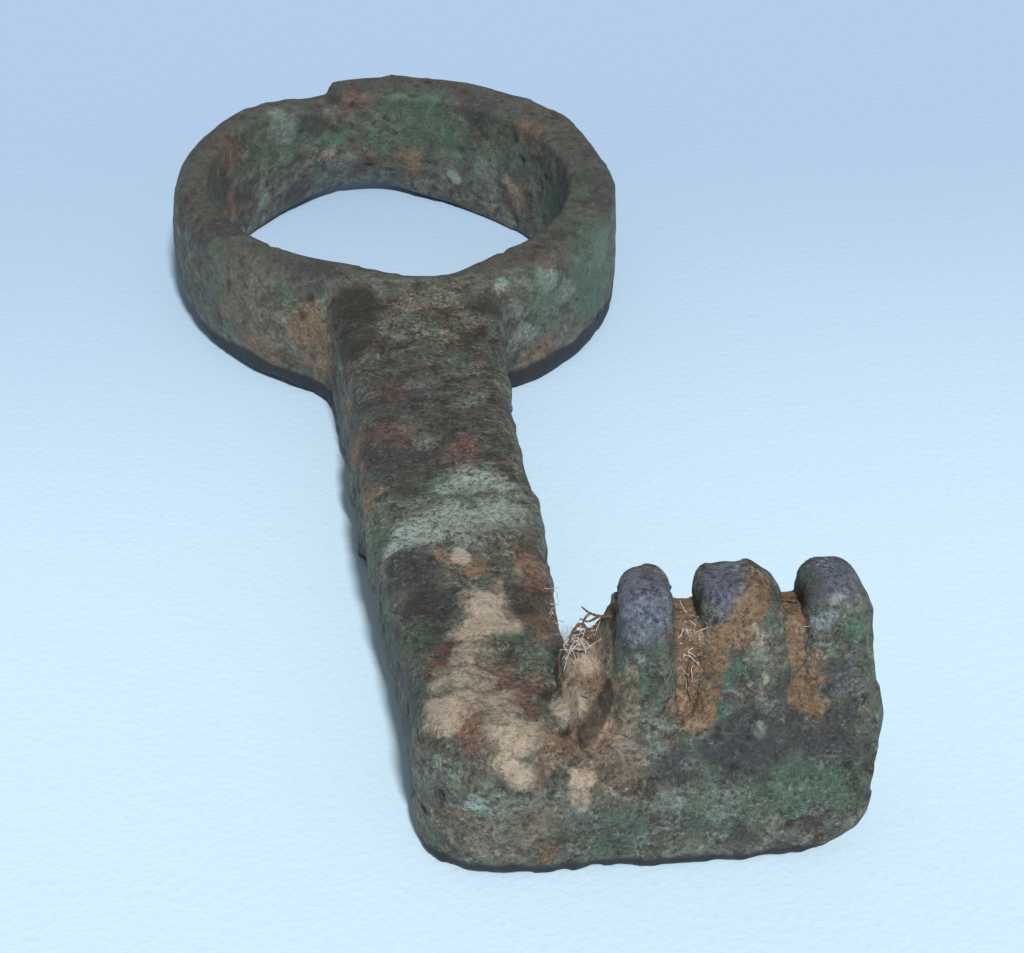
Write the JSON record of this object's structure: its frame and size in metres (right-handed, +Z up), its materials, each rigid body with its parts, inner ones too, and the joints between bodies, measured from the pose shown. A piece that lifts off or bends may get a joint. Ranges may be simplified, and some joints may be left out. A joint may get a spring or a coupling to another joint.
{
  "type": "bronze key",
  "caption": "Small ancient cast bronze key with a flat ring bow, a thick waisted shank and a side arm that carries a comb of teeth, with earth and rootlets left in its gaps.",
  "frame": {"origin": "under the middle of the key's box, on the surface that it lies on", "axes": "+Y along the shank towards the bow, +X along the arm of the bit, +Z up the teeth"},
  "size_m": [0.0248, 0.0518, 0.0111],
  "materials": {
    "bronze_patina": "corroded bronze with dark olive, brown and green patina",
    "dried_earth": "matt dried soil",
    "rootlet": "matt plant fibre"
  },
  "bodies": {
    "root": {"bow_ring": "bronze_patina", "bow_neck": "bronze_patina", "shank": "bronze_patina", "shank_elbow": "bronze_patina", "bit_arm": "bronze_patina", "comb_plate": "bronze_patina", "tooth_1": "bronze_patina", "tooth_2": "bronze_patina", "tooth_3": "bronze_patina", "earth_on_elbow": "dried_earth", "earth_bank_at_tooth_1": "dried_earth", "earth_plug_1_2": "dried_earth", "earth_plug_2_3": "dried_earth", "earth_on_arm_front": "dried_earth", "rootlet_hooked": "rootlet", "rootlet_looped": "rootlet"}
  },
  "joints": []
}
